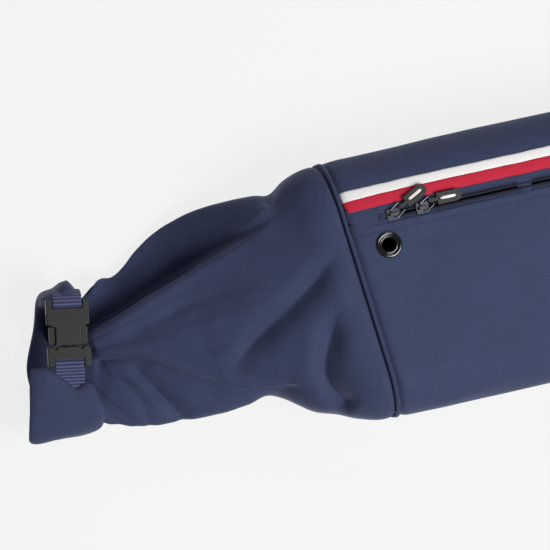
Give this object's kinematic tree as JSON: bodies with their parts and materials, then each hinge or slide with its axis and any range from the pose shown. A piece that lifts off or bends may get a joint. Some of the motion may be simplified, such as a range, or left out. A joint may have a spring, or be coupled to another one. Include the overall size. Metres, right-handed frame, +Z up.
{
  "type": "ski bag",
  "caption": "Padded ski bag with a full-length zip, a rolled and buckled extension at one end, and carry handles.",
  "frame": {"origin": "middle of the padded body's base, on the surface that the bag lies on", "axes": "+X along the bag from the rolled mouth to the closed end, +Y towards the zip's edge, +Z up out of the front"},
  "size_m": [1.7473, 0.2395, 0.1165],
  "materials": {
    "shell_fabric": "matte",
    "sleeve_fabric": "matte",
    "padding_foam": "matte",
    "lining_fabric": "matte",
    "piping_fabric": "matte",
    "zip_tape": "matte",
    "zip_coil": "satin",
    "slider_metal": "satin",
    "pull_rubber": "matte",
    "ribbon_navy": "matte",
    "ribbon_red": "matte",
    "ribbon_white": "matte",
    "eyelet_black": "gloss",
    "buckle_plastic": "satin",
    "webbing": "matte",
    "stitching": "matte",
    "stiffener_plastic": "matte",
    "wrap_fabric": "matte",
    "ring_metal": "satin"
  },
  "bodies": {
    "bag": {"back_padding": "padding_foam", "back_panel": "shell_fabric", "buckle_socket": "buckle_plastic", "end_handle": "webbing", "end_padding": "padding_foam", "end_panel": "shell_fabric", "end_piping": "piping_fabric", "end_tabs": "webbing", "eyelet": "eyelet_black", "eyelet_washer": "eyelet_black", "front_padding": "padding_foam", "front_panel": "shell_fabric", "handle_band_far": "webbing", "handle_band_near": "webbing", "lining": "lining_fabric", "lower_side_padding": "padding_foam", "lower_side_panel": "shell_fabric", "mouth_stiffener": "stiffener_plastic", "ribbon_navy": "ribbon_navy", "ribbon_red": "ribbon_red", "ribbon_white": "ribbon_white", "ring_tab_far": "webbing", "ring_tab_near": "webbing", "roll_band": "sleeve_fabric", "roll_top_sleeve": "sleeve_fabric", "seam_binding": "lining_fabric", "seam_piping": "piping_fabric", "ski_strap_far": "webbing", "ski_strap_near": "webbing", "strap_bartack": "stitching", "upper_panel": "shell_fabric", "upper_side_padding": "padding_foam", "webbing_upper": "webbing", "zip_coil_lower": "zip_coil", "zip_coil_upper": "zip_coil", "zip_tacks": "zip_tape", "zip_tape_lower": "zip_tape", "zip_tape_upper": "zip_tape"},
    "slider_a": {"slider_a": "slider_metal"},
    "bail_a": {"pull_bail_a": "slider_metal"},
    "grip_a": {"pull_grip_a": "pull_rubber"},
    "slider_b": {"slider_b": "slider_metal"},
    "bail_b": {"pull_bail_b": "slider_metal"},
    "grip_b": {"pull_grip_b": "pull_rubber"},
    "plug": {"buckle_plug": "buckle_plastic", "webbing_lower": "webbing"},
    "prong_outer": {"prong_outer": "buckle_plastic"},
    "prong_inner": {"prong_inner": "buckle_plastic"},
    "front_handle": {"front_handle": "webbing", "handle_wrap": "wrap_fabric"},
    "side_handle": {"side_handle": "webbing"},
    "ring_near": {"d_ring_near": "ring_metal"},
    "ring_far": {"d_ring_far": "ring_metal"}
  },
  "joints": [
    {"name": "slider_a_slide", "type": "slide", "parent": "bag", "child": "slider_a", "axis": [1, 0, 0], "range_m": [-0.003, 0]},
    {"name": "slider_b_slide", "type": "slide", "parent": "bag", "child": "slider_b", "axis": [1, 0, 0], "range_m": [0, 1.288]},
    {"name": "bail_a_lift", "type": "hinge", "parent": "slider_a", "child": "bail_a", "pos_m": [-0.663, 0.0575, 0.1138], "axis": [0.5592, -0.829, 0], "range_deg": [0, 90]},
    {"name": "grip_a_tilt", "type": "hinge", "parent": "bail_a", "child": "grip_a", "pos_m": [-0.65471, 0.06309, 0.1138], "axis": [0.5592, -0.829, 0], "range_deg": [0, 45]},
    {"name": "bail_b_lift", "type": "hinge", "parent": "slider_b", "child": "bail_b", "pos_m": [-0.637, 0.0575, 0.1138], "axis": [0.4848, -0.8746, 0], "range_deg": [0, 90]},
    {"name": "grip_b_tilt", "type": "hinge", "parent": "bail_b", "child": "grip_b", "pos_m": [-0.62825, 0.06235, 0.1138], "axis": [0.4848, -0.8746, 0], "range_deg": [0, 45]},
    {"name": "buckle_slide", "type": "slide", "parent": "bag", "child": "plug", "axis": [-0.1736, -0.9848, 0], "range_m": [0, 0.016]},
    {"name": "prong_outer_squeeze", "type": "hinge", "parent": "plug", "child": "prong_outer", "pos_m": [-0.96744, 0.00879, 0.07], "axis": [0, 0, -1], "range_deg": [0, 8], "stiffness_Nm_per_rad": 0.15},
    {"name": "prong_inner_squeeze", "type": "hinge", "parent": "plug", "child": "prong_inner", "pos_m": [-0.94577, 0.00497, 0.07], "axis": [0, 0, 1], "range_deg": [0, 8], "stiffness_Nm_per_rad": 0.15},
    {"name": "front_handle_lift", "type": "hinge", "parent": "bag", "child": "front_handle", "pos_m": [0.06, 0.034, 0.1135], "axis": [-1, 0, 0], "range_deg": [0, 110]},
    {"name": "side_handle_lift", "type": "hinge", "parent": "bag", "child": "side_handle", "pos_m": [0.06, 0.1185, 0.08], "axis": [1, 0, 0], "range_deg": [0, 170]},
    {"name": "ring_near_swing", "type": "hinge", "parent": "bag", "child": "ring_near", "pos_m": [-0.33, 0.119, 0.076], "axis": [1, 0, 0], "range_deg": [0, 150]},
    {"name": "ring_far_swing", "type": "hinge", "parent": "bag", "child": "ring_far", "pos_m": [0.47, 0.119, 0.076], "axis": [1, 0, 0], "range_deg": [0, 150]}
  ]
}
